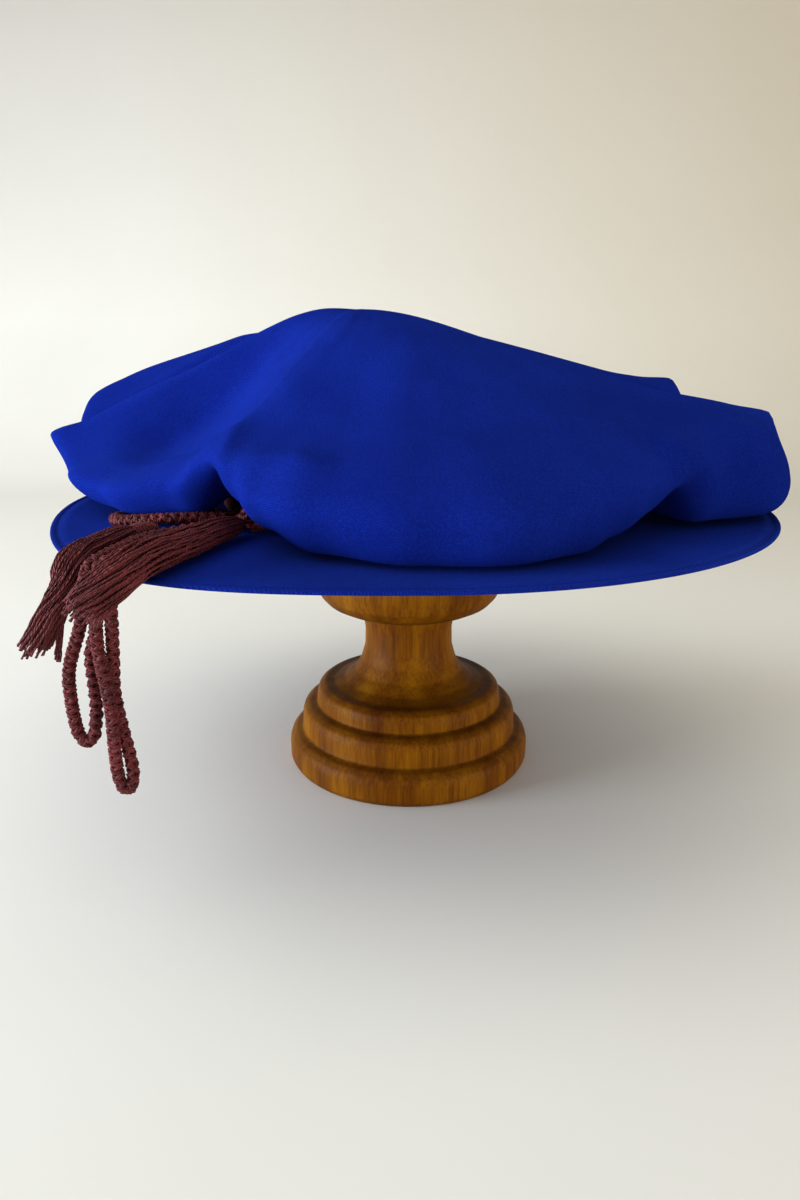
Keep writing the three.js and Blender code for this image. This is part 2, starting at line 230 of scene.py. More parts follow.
class Nodes:
    """Short calls for building a material's node tree."""

    def __init__(self, name):
        self.material = bpy.data.materials.new(name)
        self.material.use_nodes = True
        self.tree = self.material.node_tree
        self.shader = self.tree.nodes["Principled BSDF"]

    def add(self, kind, links=None, **values):
        node = self.tree.nodes.new(kind)
        for key, value in values.items():
            setattr(node, key, value)
        for socket, source in (links or {}).items():
            self.set(node, socket, source)
        return node

    def set(self, node, socket, source):
        if isinstance(source, bpy.types.NodeSocket):
            self.tree.links.new(source, node.inputs[socket])
        else:
            node.inputs[socket].default_value = source

    def place(self):
        return self.add("ShaderNodeTexCoord").outputs["Object"]

    def uv(self):
        return self.add("ShaderNodeUVMap", uv_map="UVMap").outputs[0]

    def axes(self, vector):
        return self.add("ShaderNodeSeparateXYZ", {0: vector}).outputs

    def math(self, operation, a, b=0.0, clamp=False):
        return self.add("ShaderNodeMath", {0: a, 1: b}, operation=operation, use_clamp=clamp).outputs[0]

    def plus(self, a, b):
        return self.math("ADD", a, b)

    def times(self, a, b, clamp=False):
        return self.math("MULTIPLY", a, b, clamp)

    def noise(self, vector, scale, detail=3.0, roughness=0.5):
        node = self.add("ShaderNodeTexNoise", {
            "Vector": vector, "Scale": scale, "Detail": detail, "Roughness": roughness})
        return node.outputs["Fac"]

    def scaled(self, vector, scale):
        return self.add("ShaderNodeMapping", {"Vector": vector, "Scale": scale}).outputs[0]

    def ramp(self, factor, stops):
        node = self.add("ShaderNodeValToRGB", {"Fac": factor})
        elements = node.color_ramp.elements
        while len(elements) < len(stops):
            elements.new(0.5)
        for element, (place, colour) in zip(elements, stops):
            element.position = place
            element.color = (*colour, 1)
        return node.outputs["Color"]

    def mix(self, factor, a, b, blend="MIX"):
        node = self.add("ShaderNodeMix", data_type="RGBA", blend_type=blend)
        for index, value in ((0, factor), (6, a), (7, b)):
            self.set(node, index, value if not isinstance(value, tuple) else (*value, 1))
        return node.outputs[2]

    def bump(self, height, strength, distance):
        return self.add("ShaderNodeBump", {
            "Height": height, "Strength": strength, "Distance": distance}).outputs[0]

    def finish(self, colour, normal=None, roughness=0.8, **sockets):
        self.set(self.shader, "Base Color", colour)
        self.set(self.shader, "Roughness", roughness)
        if normal is not None:
            self.set(self.shader, "Normal", normal)
        for socket, value in sockets.items():
            self.shader.inputs[socket.replace("_", " ")].default_value = value
        return self.material


def cloth_material(name, lines_per_metre, sheen):
    """Fine twill: diagonal ribs crossed by threads, with faint broad changes of tone."""
    n = Nodes(name)
    across, down, _ = n.axes(n.uv())
    place = n.place()
    bends = n.times(n.noise(place, scale=70, detail=2), 3.0)
    diagonal = n.plus(across, n.times(down, 1.15))
    rib = n.math("SINE", n.plus(n.times(diagonal, lines_per_metre * TAU), bends))
    thread = n.math("SINE", n.times(across, 1.7 * lines_per_metre * TAU))
    weave = n.plus(n.times(rib, 0.5), n.times(thread, 0.22))
    grain = n.noise(place, scale=1300, detail=2, roughness=0.6)
    broad = n.noise(place, scale=14, detail=4, roughness=0.55)
    tone = n.plus(n.plus(n.times(broad, 0.45), n.times(grain, 0.5)), n.times(weave, 0.20))
    colour = n.ramp(tone, [(0.37, CLOTH_DARK), (0.60, CLOTH_LIT)])
    normal = n.bump(n.plus(n.times(weave, 0.5), grain), strength=0.55, distance=0.0005)
    return n.finish(colour, normal, roughness=1.0, Sheen_Weight=sheen, Sheen_Roughness=0.5,
                    Sheen_Tint=CLOTH_SHEEN, Specular_IOR_Level=0.0)


def yarn_material(name, plies, turns_per_metre):
    """Maroon yarn: plies wound round each strand, loose fibres and a slight sheen."""
    n = Nodes(name)
    around, along, _ = n.axes(n.uv())
    place = n.place()
    ply = n.math("SINE", n.plus(n.times(around, plies * TAU), n.times(along, turns_per_metre * TAU)))
    fibre = n.noise(place, scale=1500, detail=3, roughness=0.65)
    patches = n.noise(place, scale=110)
    tone = n.plus(n.plus(n.times(ply, 0.20), n.times(fibre, 0.5)), n.times(patches, 0.5))
    colour = n.ramp(tone, [(0.2, YARN_DARK), (0.52, YARN_MIDDLE), (0.86, YARN_LIT)])
    normal = n.bump(n.plus(n.times(ply, 0.6), fibre), strength=0.8, distance=0.0004)
    return n.finish(colour, normal, roughness=0.62, Sheen_Weight=0.06, Sheen_Roughness=0.4,
                    Sheen_Tint=YARN_SHEEN, Specular_IOR_Level=0.16)


def wood_material(name):
    """Waxed hardwood: streaks run up the stand's axis, and level faces are darkened with painted shade.
    """
    n = Nodes(name)
    place = n.place()
    streak = n.noise(n.scaled(place, (1, 1, 0.06)), scale=110, detail=4, roughness=0.6)
    fine = n.noise(n.scaled(place, (1, 1, 0.035)), scale=620, detail=3, roughness=0.6)
    figure = n.noise(n.scaled(place, (1, 1, 0.35)), scale=38)
    pores = n.noise(n.scaled(place, (1, 1, 0.05)), scale=1300, detail=1)
    tone = n.plus(n.plus(n.times(streak, 0.34), n.times(fine, 0.22)), n.times(figure, 0.46))
    colour = n.ramp(tone, [(0.38, WOOD_DARK), (0.5, WOOD_MIDDLE), (0.62, WOOD_LIT)])
    # painted shade: level faces, such as the tops of the tiers, are darkened
    up = n.axes(n.add("ShaderNodeNewGeometry").outputs["True Normal"])[2]
    level_shade = n.times(n.math("POWER", n.math("ABSOLUTE", up), 1.6), 0.60)
    colour = n.mix(level_shade, colour, n.mix(1.0, colour, WOOD_LEVEL_SHADE, "MULTIPLY"))
    colour = n.mix(n.times(n.math("LESS_THAN", pores, 0.42), 0.30), colour, WOOD_PORE)
    normal = n.bump(n.plus(n.times(fine, 0.6), n.times(pores, 0.5)), strength=0.12, distance=0.0004)
    roughness = n.plus(n.times(streak, 0.25), 0.42)
    return n.finish(colour, normal, roughness, Specular_IOR_Level=0.06)


def thread_material(name):
    """Dark blue sewing thread, darkened to near black with the painted shade of its sunk groove."""
    n = Nodes(name)
    tone = n.noise(n.place(), scale=900, detail=2)
    return n.finish(n.ramp(tone, [(0.3, THREAD_DARK), (0.7, THREAD_LIT)]), roughness=0.7)


def paper_material(name):
    """Pale paper with painted shade: a little darker towards the top, and warmer and dimmer towards the
    right.
    """
    n = Nodes(name)
    place = n.place()
    x, y, z = n.axes(place)
    pale = n.ramp(n.noise(place, scale=3), [(0.3, PAPER_DARK), (0.7, PAPER_LIT)])
    # painted shade: the paper darkens upwards, and turns warmer and dimmer towards the right
    above = n.times(n.math("SUBTRACT", z, 0.30, clamp=True), 1.1, clamp=True)
    warm_shade_aside = n.times(n.plus(n.plus(x, n.times(y, 0.25)), 0.25), 0.35, clamp=True)
    colour = n.mix(warm_shade_aside, n.mix(above, pale, PAPER_SHADE_ABOVE), PAPER_WARM_SHADE_ASIDE)
    return n.finish(colour, roughness=0.8, Specular_IOR_Level=0.2)


CLOTH = cloth_material("royal_blue_twill", lines_per_metre=1000, sheen=0.04)
BRIM_CLOTH = cloth_material("royal_blue_brim", lines_per_metre=900, sheen=0.10)
YARN = yarn_material("maroon_yarn", plies=3.0, turns_per_metre=420.0)
WOOD = wood_material("waxed_wood")
THREAD = thread_material("thread_with_groove_shade")
PAPER = paper_material("pale_sweep")


def dress(obj, material, slot, *nodes):
    """Gives a piece its material, and hides the solids that it stands for. The slot is not used."""
    obj.data.materials.append(material)
    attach(obj, "root")
    if nodes:
        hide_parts(*nodes)
    return obj


# the braided cord
LOOP_CORD_RADIUS, TIED_CORD_RADIUS = 2.32, 2.4
LOOP_STEP = 0.5  # distance between the points of a loop's line
BRAID_LAY = 8.4  # length in which a strand goes once round the braid
PLY_LAY = 0.62 * BRAID_LAY  # length in which a ply goes once round its strand
STRAND_PLIES, PLY_SIDES = 3, 5
# shares of the braid's radius: how far out a strand's middle lies, and the radius of a ply
STRAND_PLACE, PLY_SHARE = 0.61, 0.285
STRAND_WAVE = 0.20  # how far a strand goes in and out where it crosses the others
PLY_DEPTH, PLY_WIDTH = 0.85, 1.15  # how far plies lie from their strand's middle, in ply radii


def facing_turn(line, index):
    """The turn at which a braid shows both its rows of lobes to the front at one point."""
    _, side, up = frames(line)
    front = EYE - line[index]
    return math.atan2(front @ up[index], front @ side[index]) - math.pi / 4


def braid(line, radius, closed=False, start_turn=0.0):
    """Four strands of twisted plies plaited round, two each way, that pass over and under."""
    tangent, side, up = frames(line, closed)
    along = arc_lengths(line)
    ply = radius * PLY_SHARE
    parts = []
    for way in (1, -1):
        for k in range(2):
            theta = way * (TAU * along / BRAID_LAY) + math.pi * k
            looked = theta + start_turn
            out = side * np.cos(looked)[:, None] + up * np.sin(looked)[:, None]
            beside = np.cross(tangent, out)
            reach = radius * STRAND_PLACE * (1 + way * STRAND_WAVE * np.cos(2 * theta))
            for p in range(STRAND_PLIES):
                q = way * (TAU * along / PLY_LAY) + TAU * p / STRAND_PLIES
                strand = line + out * (reach + ply * PLY_DEPTH * np.cos(q))[:, None] \
                    + beside * (ply * PLY_WIDTH * np.sin(q))[:, None]
                parts.append(tube(strand, ply, PLY_SIDES))
    return joined(parts)


# centre lines, close to those of the frame
LOOPS = {
    "cord_loop_left": [
        # from the knot to the brim's edge
        [-79.6, -82.4, 149.9], [-88, -87, 149.2], [-99, -92.6, 148.2], [-110, -101, 147.2],
        [-115.8, -116, 146], [-118.6, -129, 145.4], [-121, -136.8, 143.4],
        # down
        [-122.6, -139.6, 136], [-123.6, -143, 123.6], [-129.3, -145, 105], [-129.9, -145, 92],
        [-129, -145, 81],
        # the free bend
        [-127.9, -145, 77.2], [-125.4, -145, 74.9], [-122.9, -145, 77.2],
        # up and back onto the brim
        [-121.7, -145, 81.3], [-120.4, -145, 90.2], [-120.4, -145, 101.4],
        [-120.6, -144.4, 111], [-118, -143.6, 121], [-117.2, -142.4, 136], [-116, -139.2, 143.8],
        [-112.8, -130, 145.2], [-108, -121, 145.8]],
    "cord_loop_right": [
        # over the brim's edge
        [-97, -118, 146.6], [-103, -130, 145.8], [-110.2, -142.4, 145.2], [-113.6, -148.4, 137],
        # down
        [-115.4, -150, 119], [-114.4, -151, 109.5], [-112.9, -152, 100.6], [-112.2, -152, 93.3],
        [-112.3, -151.6, 85.3], [-112.9, -150.4, 76.3], [-113.4, -149, 67], [-113.1, -148.3, 60.2],
        # the free bend
        [-112, -148.1, 57.0], [-110.5, -147.9, 55.6], [-109.0, -147.7, 57.1],
        # up and back onto the brim
        [-108.0, -147.5, 60.6],
        [-107.9, -147.3, 65.5], [-108.9, -147, 72.5], [-110.5, -146.6, 81.7], [-111.8, -146.4, 90.9],
        [-112.3, -146.2, 98.2], [-111.4, -146.6, 109.8], [-110.2, -148, 121.5],
        [-107.8, -151.4, 137.4], [-106.6, -147.4, 144.8], [-102.4, -139.6, 145.8],
        [-98.8, -133.4, 145.9]],
    "cord_loop_short": [
        # from the knot along the brim
        [-80.6, -66.4, 149.6], [-89, -59, 149.4], [-99, -54, 149.2], [-112, -51.4, 148.9],
        # the bend on the brim
        [-124, -51.6, 148.4], [-132.6, -56.4, 148.2], [-135, -64, 148.4], [-131.4, -73.4, 149.2],
        # back over the rear tassel's head to the knot
        [-121, -81.6, 150.8], [-107, -85.4, 152.2], [-93, -82, 152.2], [-80.4, -77.4, 151.2]],
}
FACING_SHARE = 0.4  # how far along a loop its braid is turned to the front

BAND_RADIUS, BAND_HEIGHT, BAND_POINTS = 94.0, 149.2, 1180

KNOT = np.array([-66.4, -84.0, 151.8])
KNOT_TURN = math.radians(-38)
KNOT_POINTS, KNOT_STEP = 260, 0.55
# the knot's line goes twice round an oval and, on the way, three times round the oval's own line
KNOT_REACH, KNOT_SWING, KNOT_RISE = 2.9, 1.5, 2.0
KNOT_LENGTH, KNOT_WIDTH = 2.05, 1.45


def band_line():
    """A ring round the crown's foot."""
    a = np.linspace(0, TAU, BAND_POINTS)
    return np.stack([BAND_RADIUS * np.cos(a), BAND_RADIUS * np.sin(a), np.full_like(a, BAND_HEIGHT)], 1)


def knot_line():
    """A line wound three times through itself."""
    t = np.linspace(0, TAU, KNOT_POINTS)
    reach = KNOT_REACH + KNOT_SWING * np.cos(3 * t)
    x, y = reach * KNOT_LENGTH * np.cos(2 * t), reach * KNOT_WIDTH * np.sin(2 * t)
    c, s = math.cos(KNOT_TURN), math.sin(KNOT_TURN)
    return evenly(np.stack([x * c - y * s, x * s + y * c, KNOT_RISE * np.sin(3 * t)], 1) + KNOT,
                  step=KNOT_STEP)


def add_cord(name, shape):
    return dress(add_mesh(name + "_braid", *shape), YARN, "maroon_cord", name)


loop_lines = {name: catmull(points, step=LOOP_STEP) for name, points in LOOPS.items()}
for name, line in loop_lines.items():
    turned = facing_turn(line, int(len(line) * FACING_SHARE))
    add_cord(name, braid(line, LOOP_CORD_RADIUS, start_turn=turned))
add_cord("cord_band", braid(band_line(), TIED_CORD_RADIUS, closed=True))
knot = add_cord("cord_knot", braid(knot_line(), TIED_CORD_RADIUS))

# the tassels: way is the skirt's centre line, width and depth its half sizes at root and end
TASSELS = {
    "tassel_front": dict(
        head=(-71.4, -91.6, 151), neck=(-81, -107, 151), radius=3.8,
        way=[[-72.4, -93.6, 151.2], [-78.4, -104.4, 151.2], [-82, -115.5, 151.2],
             [-86.6, -128.5, 151], [-91.6, -141, 150.8], [-97, -152.4, 149.4],
             [-102.6, -160.6, 145.4], [-108.4, -164.4, 140], [-114.2, -165, 134.2]],
        width=(5.6, 9.4), depth=(4.6, 7.4), strands=170),
    "tassel_rear": dict(
        head=(-110, -86.4, 148.2), neck=(-119.6, -99.8, 147.8), radius=3.7,
        way=[[-117.8, -97, 149.2], [-121.6, -106.2, 148.4], [-124.4, -115.2, 147.6],
             [-127, -124, 146.8], [-130, -131.6, 142.8], [-133.4, -135.4, 132.6],
             [-139.8, -135.6, 121], [-147.3, -134.4, 109.6]],
        width=(4.8, 8.6), depth=(3.4, 5.6), strands=140),
}
STRAND_RADIUS, STRAND_SIDES, STRAND_POINTS = 0.40, 5, 52
GOLDEN_ANGLE = 2.39996  # spreads the strands evenly over the skirt's section
ROOT_SHARE, ROOT_GATHER = 0.12, 0.30  # how far down a skirt is gathered, and how much
STRAY_CHANCE, STRAY_REACH = 0.12, 0.22  # strands that leave the skirt, and how far they do
SHORT_CUT, LONG_CUT, CUT_LENGTH = -5.0, 1.5, 75  # ends fall short of the way or pass it
END_FLARE = (1.15, 1.3)  # fraying at a strand's last two points
SLOW_REACH, SLOW_LENGTHS = 0.34, (14, 30)  # a thread's own bends: how far, and over what lengths
QUICK_REACH, QUICK_LENGTHS = 0.12, (6, 11)
WINDING_RADIUS, WINDING_PITCH, WINDING_POINTS = 0.75, 1.4, 22  # points for each turn
CORE_SHARE, WINDING_SHARE = 0.93, 0.92  # of the head's radius
CORE_POINTS, CORE_SIDES = 26, 20
# a lock that hangs apart from the rear tassel's skirt
STRAY_LOCK = [[-128, -130, 144], [-131, -136, 136], [-133, -137, 122], [-137, -136, 105]]
LOCK_STRANDS, LOCK_POINTS, LOCK_SPREAD = 9, 40, 0.75


def wander(along, t):
    """A thread's own slow bends, nothing at its root."""
    first, second = rng.uniform(*SLOW_LENGTHS), rng.uniform(*QUICK_LENGTHS)
    slow = SLOW_REACH * np.sin(TAU * along / first + rng.uniform(0, TAU))
    quick = QUICK_REACH * np.sin(TAU * along / second + rng.uniform(0, TAU))
    return (slow + quick) * np.minimum(1, t * 2.5)


def tassel(spec):
    """Strands that leave a wound head, spread over the brim's edge and end in a cut."""
    way = catmull(spec["way"], count=STRAND_POINTS)
    t = np.linspace(0, 1, STRAND_POINTS)
    ahead = unit(np.gradient(way, axis=0))
    across = unit(np.cross(ahead, (0, 0, 1.0)))
    lift = np.cross(across, ahead)
    (width, end_width), (depth, end_depth) = spec["width"], spec["depth"]
    half_width = width + (end_width - width) * t ** 0.7
    half_depth = depth + (end_depth - depth) * t
    along = t * arc_lengths(way)[-1]
    gather = 1 - ROOT_GATHER * (1 - np.minimum(1, t / ROOT_SHARE)) ** 2
    parts = []
    for k in range(spec["strands"]):
        share = math.sqrt((k + 0.5) / spec["strands"])
        angle = k * GOLDEN_ANGLE + rng.normal(0, 0.1)
        drift = rng.normal(0, 0.3)
        stray = 1 + (STRAY_REACH * t ** 2 if rng.uniform() < STRAY_CHANCE else 0)
        u = share * np.cos(angle + drift * t) * gather * stray
        v = share * np.sin(angle + drift * t) * gather
        line = way + across * (u * half_width + wander(along, t))[:, None] \
            + lift * (v * half_depth + wander(along, t))[:, None]
        cut = rng.uniform(SHORT_CUT, LONG_CUT)
        if cut < 0:
            line = evenly(line[:int(STRAND_POINTS * (1 + cut / CUT_LENGTH))], count=STRAND_POINTS)
        else:
            line = np.vstack([line, line[-1] + ahead[-1] * cut])
        radius = STRAND_RADIUS * rng.uniform(0.85, 1.15) * np.ones(len(line))
        radius[-2:] *= END_FLARE
        parts.append(tube(line, radius, STRAND_SIDES))
    return parts + wound_head(spec)


def bulb(share):
    """Swelling of a tassel's head, from its eye to the skirt, as a share of its radius."""
    return 0.35 + 0.65 * np.sin(math.pi * (0.12 + 0.76 * share))


def wound_head(spec):
    """A bulb with thread wound round it from the eye to the skirt."""
    head, neck = np.array(spec["head"]), np.array(spec["neck"])
    axis = neck - head
    length = np.linalg.norm(axis)
    side = unit(np.cross(axis, (0, 0, 1.0)))
    up = np.cross(side, axis / length)
    s = np.linspace(0, 1, CORE_POINTS)
    core = tube(head + axis * s[:, None], spec["radius"] * bulb(s) * CORE_SHARE, CORE_SIDES)
    turns = length / WINDING_PITCH
    q = np.linspace(0.02, 0.98, int(turns * WINDING_POINTS))
    r = spec["radius"] * bulb(q) * WINDING_SHARE
    a = TAU * turns * q
    wound = head + axis * q[:, None] + side * (r * np.cos(a))[:, None] + up * (r * np.sin(a))[:, None]
    return [core, tube(wound, WINDING_RADIUS)]


def lock(points):
    """A few threads that hang together."""
    way = catmull(points, count=LOCK_POINTS)
    t = np.linspace(0, 1, LOCK_POINTS)
    along = t * arc_lengths(way)[-1]
    parts = []
    for _ in range(LOCK_STRANDS):
        off = rng.normal(0, LOCK_SPREAD, 3) * (1, 0.6, 0)
        line = way + off * (0.4 + 0.6 * t)[:, None] + (1, 0, 0) * wander(along, t)[:, None]
        parts.append(tube(line[:len(line) - rng.integers(0, 4)], STRAND_RADIUS, STRAND_SIDES))
    return parts


for name, spec in TASSELS.items():
    shape = tassel(spec)
    if name == "tassel_rear":
        shape += lock(STRAY_LOCK)
    dress(add_mesh(name + "_strands", *joined(shape)), YARN, "maroon_cord", name)

# the brim
BRIM_TURNS, BRIM_EDGE_POINTS = 288, 9
# radius and height over the face, from the edge inwards: the stitch groove, then the flat cloth
BRIM_GROOVE = [(178.6, 0), (177.6, 0), (177.3, -0.2), (176.9, -0.45), (176.5, -0.2), (176.2, 0)]
BRIM_FLAT = [(172, 0), (160, 0), (140, 0), (120, 0), (100, 0), (92, 0)]
STITCH_RADIUS, STITCH_LENGTH, STITCH_PITCH = 176.9, 2.1, 2.9
STITCH_THREAD, STITCH_SIDES = 0.16, 4
STITCH_RISE = np.array([-0.60, -0.38, -0.33, -0.38, -0.60])  # over the face, along a stitch
STITCH_CENTRE_X = 0.96 * BRIM_CENTRE_X


def brim_top(x, y):
    """Height of the brim's upper face."""
    r = np.hypot(x, y)
    azimuth = np.degrees(np.arctan2(y, x))
    away = np.abs((azimuth - BRIM_SAG_AZIMUTH + 180) % 360 - 180)
    sag = np.cos(np.radians(90 * np.minimum(1, away / BRIM_SAG_HALF_WIDTH))) ** 2
    outward = np.clip((r - BRIM_SAG_START) / BRIM_SAG_REACH, 0, 1)
    return BRIM_TOP - BRIM_SAG * sag * outward ** BRIM_SAG_POWER


def build_brim():
    """A ring of stiff cloth with rounded edges and a groove near its edge on both faces."""
    half = BRIM_THICKNESS / 2
    edge = np.linspace(-math.pi / 2, math.pi / 2, BRIM_EDGE_POINTS)
    rim = [(BRIM_RADIUS - half + half * math.cos(q), half * math.sin(q)) for q in edge]
    top = [(r, half + h) for r, h in BRIM_GROOVE + BRIM_FLAT]
    under = [(r, -h) for r, h in top]
    inner = [(BRIM_OPENING + half - half * math.cos(q), half * math.sin(q)) for q in edge[::-1]]
    section = np.array(rim + top + inner + under[::-1])
    a = np.arange(BRIM_TURNS)[:, None] * TAU / BRIM_TURNS
    r, h = section[:, 0][None], section[:, 1][None]
    shift = BRIM_CENTRE_X * np.clip((r - BRIM_OPENING) / (BRIM_RADIUS - BRIM_OPENING), 0, 1)
    x, y = shift + r * np.cos(a), r * np.sin(a)
    verts = np.stack([x, y, brim_top(x, y) - half + h], -1).reshape(-1, 3)
    faces = grid_faces(BRIM_TURNS, len(section), rows_close=True, turned=True)
    return verts, faces, verts[:, :2] * MM


def stitches(upper):
    """Short stitches in the groove by the brim's edge, on its upper or lower face."""
    parts = []
    count = int(TAU * STITCH_RADIUS / STITCH_PITCH)
    for k in range(count):
        a = TAU * (k + np.linspace(0, 1, len(STITCH_RISE)) * STITCH_LENGTH / STITCH_PITCH) / count
        x, y = STITCH_CENTRE_X + STITCH_RADIUS * np.cos(a), STITCH_RADIUS * np.sin(a)
        top = brim_top(x, y)
        z = top + STITCH_RISE if upper else top - BRIM_THICKNESS - STITCH_RISE
        parts.append(tube(np.stack([x, y, z], 1), STITCH_THREAD, STITCH_SIDES, caps=False))
    return parts


dress(add_mesh("brim_cloth", *build_brim()), BRIM_CLOTH, "brim_cloth", "brim")
dress(add_mesh("brim_stitches", *joined(stitches(upper=True) + stitches(upper=False))),
      THREAD, "brim_cloth")

# The crown. One row for each fold line, round the crown from +X towards +Y (the back). topAz and
# edgeAz are the fold's azimuth near the top and at the edge. sharp is 0 for a round fold and 1 for a
# crisp one. The rest is height (Z) and radius (R) of the shoulder over the head block, the middle of
# the slope, the corner where the cloth turns down, the side's widest point, the lowest point and the
# cloth under the fold.
FOLDS = np.array([
    # topAz edgeAz sharp shoulderZ midR midZ cornerR cornerZ wideR wideZ lowR lowZ underZ
    [0, 4, 0, 228, 118, 198, 160, 183, 174, 166, 166, 152, 160],
    [12, 20, 1, 229, 118, 212.5, 164, 203.5, 175, 184, 166, 152, 160],
    [45, 43, 0, 231, 110, 206, 156, 185, 169, 168, 160, 150, 158],
    [70, 68, 0.6, 233, 110, 212, 160, 192, 172, 171, 162, 149, 157],
    [95, 94, 0, 235, 108, 205, 152, 183, 165, 166, 156, 149, 157],
    [118, 118, 0.6, 237, 110, 213, 160, 194, 173, 173, 162, 149, 157],
    [134, 138, 0, 239, 108, 209, 154, 188, 168, 170, 158, 151, 158],
    [146, 161, 0.8, 240, 111, 227.5, 170, 210.5, 196, 195, 177, 160, 161],
    [166, 172, 0, 241, 108, 202, 160, 179, 187, 169, 184, 157, 160],
    [182, 180, 1, 242, 108, 212.5, 163, 188.5, 180, 180, 166, 158, 159],
    [202, 192, 0, 237, 104, 187, 149, 174, 166, 165, 153, 151.8, 158],
    [212, 205, 0, 235.5, 99, 182, 136, 173, 149, 163, 141, 150.6, 158],
    [222, 221, 0.2, 235, 97, 187, 122, 176, 128, 165, 118, 150.6, 158],
    [229, 229, 0.2, 236, 97, 195, 119, 186, 122, 178.5, 118, 171.5, 167],  # the left notch
    [238, 238, 0, 235.5, 97.5, 195, 123, 179, 127, 170, 117, 160.5, 161],
    [246, 246, 0, 234, 98.5, 195, 131, 176, 139, 166, 125, 153.5, 159],
    [256, 258, 0, 233, 100, 195, 140, 175, 149, 164.5, 140, 149, 157],
    [272, 273, 0, 232, 103, 198, 146, 177, 159, 165, 153, 148.4, 156],
    [284, 285, 0, 231, 105, 198, 149, 178, 164, 165.5, 158, 148.4, 156],
    [296, 297, 0, 230, 107, 198, 149, 177, 160, 165, 152, 148.8, 156],
    [306, 307, 0, 229, 109.5, 198.5, 148, 178, 154, 167, 143, 150.8, 157],
    [314, 316, 0.4, 228.5, 111, 199, 148, 180, 151, 170, 142, 156.5, 158],
    [320, 323, 0.6, 228, 112, 199, 152, 185, 156, 178, 149, 169, 167],  # the right notch
    [327, 328, 0.2, 228, 116, 198, 156, 183, 162, 169, 155, 151, 157],
    [342, 344, 0, 228, 122, 201, 176, 188, 190, 163, 184, 150.6, 157],
    [350, 354, 1, 228, 122, 205.5, 180, 191, 197, 160, 189, 151, 157],
])
APEX = np.array([-22.0, 0, CROWN_TOP])
CROWN_LEAN = -5.0  # how far the loose cloth lies over to -X of its neck
SHOULDER_RADIUS, UNDER_RADIUS = 45.0, 106.0
MIDDLE_TURN, CORNER_TURN = 0.55, 0.9  # share of a fold's turn that it has made by these points
NECK_BULGE = 0.6  # the cloth over the gathered neck stands out a little
CROWN_COLUMNS = 512
STRETCH_ROWS = (14, 16, 12, 10, 10, 10, 5, 3)  # rings between neighbouring control points

# folds drawn over the picture: their line in its pixels, height in millimetres, reach in pixels
# above and below the line, how round the top is, and the strength at the start and at the end
DRAWN_FOLDS = {
    "ridge from the left corner to the top": dict(
        drawn=[(56, 433), (100, 414), (150, 393), (200, 364), (250, 336), (292, 317)],
        height=7.0, above=7, below=14, round_top=2, at_start=0.5, at_end=0.3),
    "hollow under it": dict(
        drawn=[(285, 350), (240, 388), (190, 424), (140, 452), (96, 470)],
        height=-10.0, above=20, below=22, round_top=9, at_start=0.6, at_end=0.4),
    "ridge from the top to the left notch": dict(
        drawn=[(325, 340), (288, 372), (252, 410), (230, 444), (218, 472)],
        height=6.5, above=14, below=24, round_top=4, at_start=0.0, at_end=1.0),
    "crease down to the right notch": dict(
        drawn=[(612, 392), (640, 425), (662, 460), (673, 495)],
        height=-2.4, above=14, below=20, round_top=6, at_start=0.1, at_end=0.6),
    "edge left of the right notch": dict(
        drawn=[(590, 485), (630, 489), (676, 497)],
        height=3.2, above=6, below=9, round_top=2, at_start=0.0, at_end=1.0),
    "ridge to the right corner": dict(
        drawn=[(522, 353), (600, 377), (676, 395), (762, 415)],
        height=3.0, above=5, below=12, round_top=2, at_start=0.2, at_end=0.6),
    "edge right of the left notch": dict(
        drawn=[(222, 474), (255, 462), (300, 462), (340, 470)],
        height=4.2, above=10, below=12, round_top=4, at_start=1.0, at_end=0.0),
}

# corners pulled to a point
PULLS = {
    "right": dict(centre=(174, -19, 191.5), way=(5, 0, 4), reach=20),
    "right at the back": dict(centre=(149, 56, 203.5), way=(2, 1, 5), reach=26),
    "left": dict(centre=(-185, 0, 180), way=(-4, 0, 1), reach=22),
}


def crown_controls():
    """Nine control points down the cloth for each column round the crown: (columns, 9, 3)."""
    rows = np.vstack([FOLDS, FOLDS[:1]])
    rows[-1, :2] += 360
    azimuth = rows[0, 1] + np.arange(CROWN_COLUMNS) * 360 / CROWN_COLUMNS
    k = np.clip(np.searchsorted(rows[:, 1], azimuth, side="right") - 1, 0, len(rows) - 2)
    a, b = rows[k], rows[k + 1]
    t = ((azimuth - a[:, 1]) / (b[:, 1] - a[:, 1]))[:, None]
    shape = hermite(0, 1, a[:, 2:3], b[:, 2:3], t)  # flat at a round fold, steep at a crisp one
    row = a + (b - a) * np.where(np.arange(rows.shape[1]) < 2, t, shape)
    (top, edge, _, shoulder_z, middle_r, middle_z, corner_r, corner_z,
     wide_r, wide_z, low_r, low_z, under_z) = row.T

    def at(azimuth, r, z, lean=0.0):
        q = np.radians(azimuth)
        return np.stack([r * np.cos(q) + lean, r * np.sin(q), np.broadcast_to(z, q.shape)], -1)

    def between(share):
        return top + (edge - top) * share

    return np.stack([
        np.broadcast_to(APEX, (CROWN_COLUMNS, 3)),
        at(top, SHOULDER_RADIUS, shoulder_z, CROWN_LEAN),
        at(between(MIDDLE_TURN), middle_r, middle_z, CROWN_LEAN),
        at(between(CORNER_TURN), corner_r, corner_z, CROWN_LEAN),
        at(edge, wide_r, wide_z, CROWN_LEAN),
        at(edge, low_r, low_z, CROWN_LEAN),
        at(edge, UNDER_RADIUS, under_z),
        at(edge, NECK_RADIUS + NECK_BULGE, BRIM_TOP + NECK_RISE),
        at(edge, NECK_RADIUS, BRIM_TOP + GAP)], 1)


